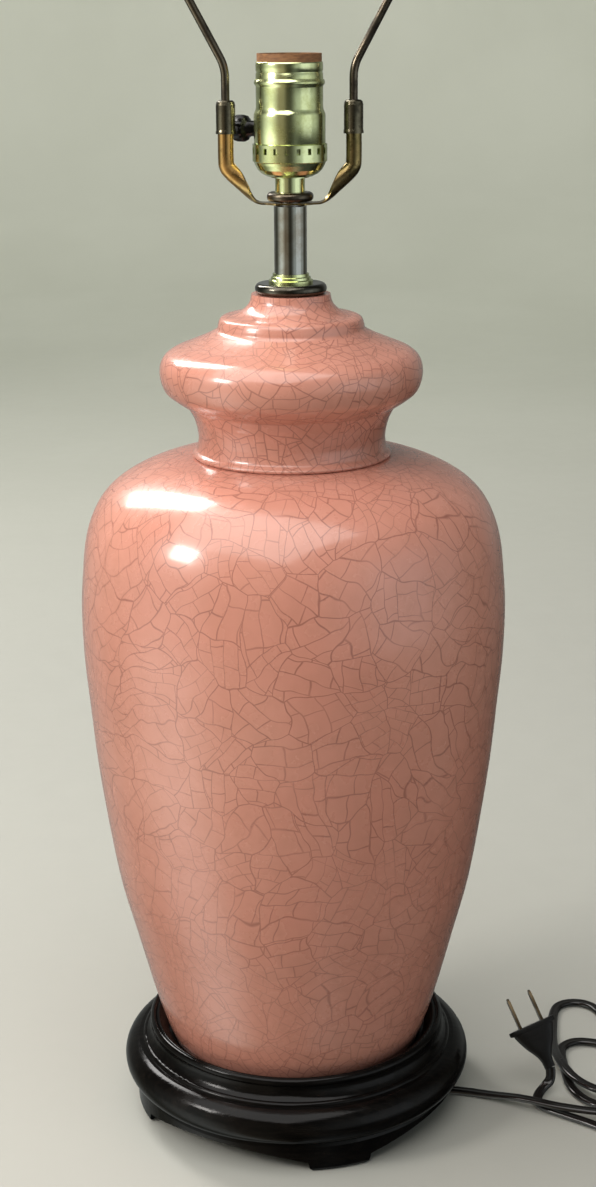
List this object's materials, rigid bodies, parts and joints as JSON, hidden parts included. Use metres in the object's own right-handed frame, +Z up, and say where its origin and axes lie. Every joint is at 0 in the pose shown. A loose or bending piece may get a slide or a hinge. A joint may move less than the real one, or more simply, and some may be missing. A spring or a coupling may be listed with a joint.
{
  "type": "table lamp",
  "caption": "Ginger-jar table lamp in pink crackle-glazed ceramic, on a black turned-wood stand, with brass socket, saddle and harp, and its mains cord laid out to one side.",
  "frame": {"origin": "floor point on the lamp's axis, under the centre of the stand", "axes": "+Z up along the lamp's axis; -Y towards the front; the harp lies in the X-Z plane and the cord runs out towards +X"},
  "size_m": [0.3844, 0.2162, 0.7266],
  "materials": {
    "glaze": "glossy salmon-pink glaze with a fine brown crackle",
    "lacquered_wood": "turned hardwood under glossy black lacquer",
    "dark_bronze": "brass with a dark bronze patina, semi-gloss",
    "polished_brass": "polished brass, lightly tarnished",
    "bright_tube": "mirror-polished tube with a warm tarnish",
    "antique_brass": "brass darkened with age",
    "steel": "bare zinc-plated steel",
    "phenolic": "black moulded phenolic",
    "fibre_sleeve": "reddish-brown vulcanised fibre board",
    "screw_shell_metal": "thin pressed brass",
    "porcelain": "unglazed porcelain",
    "cord_vinyl": "dark brown two-core vinyl cord",
    "plug_vinyl": "black moulded vinyl",
    "strap": "black cord strap"
  },
  "bodies": {
    "lamp": {"base_stand": "lacquered_wood", "ceramic_body": "glaze", "neck_ring": "dark_bronze", "tube_flange": "polished_brass", "neck_tube": "bright_tube", "harp_saddle": "antique_brass", "saddle_ring": "dark_bronze", "threaded_pipe": "steel", "bottom_washer": "steel", "bottom_nut": "steel", "cord_bushing": "phenolic", "cap_hub": "polished_brass", "hub_set_screw": "steel", "socket_cap": "polished_brass", "socket_shell": "polished_brass", "insulating_sleeve": "fibre_sleeve", "screw_shell": "screw_shell_metal", "socket_body": "porcelain", "center_contact": "screw_shell_metal", "terminal_screws": "steel", "inner_cord": "cord_vinyl", "lead_wires": "cord_vinyl", "cord_lamp_side": "cord_vinyl", "cord_plug_side": "cord_vinyl", "cord_coil": "cord_vinyl", "coil_tie": "strap", "plug_body": "plug_vinyl", "plug_blades": "screw_shell_metal"},
    "harp": {"harp_wire": "dark_bronze", "harp_top": "antique_brass"},
    "ferrule_left": {"ferrule_left": "dark_bronze"},
    "ferrule_right": {"ferrule_right": "dark_bronze"},
    "switch": {"switch_rotor": "steel", "switch_knob": "phenolic"}
  },
  "joints": [
    {"name": "knob_turn", "type": "hinge", "parent": "lamp", "child": "switch", "pos_m": [-0.01924, 0.01067, 0.5139], "axis": [-0.8746, 0.4848, 0], "continuous": true},
    {"name": "harp_lift", "type": "slide", "parent": "lamp", "child": "harp", "axis": [0, 0, 1], "range_m": [0, 0.08]},
    {"name": "ferrule_left_slide", "type": "slide", "parent": "harp", "child": "ferrule_left", "axis": [0, 0, 1], "range_m": [0, 0.01]},
    {"name": "ferrule_right_slide", "type": "slide", "parent": "harp", "child": "ferrule_right", "axis": [0, 0, 1], "range_m": [0, 0.01]}
  ]
}
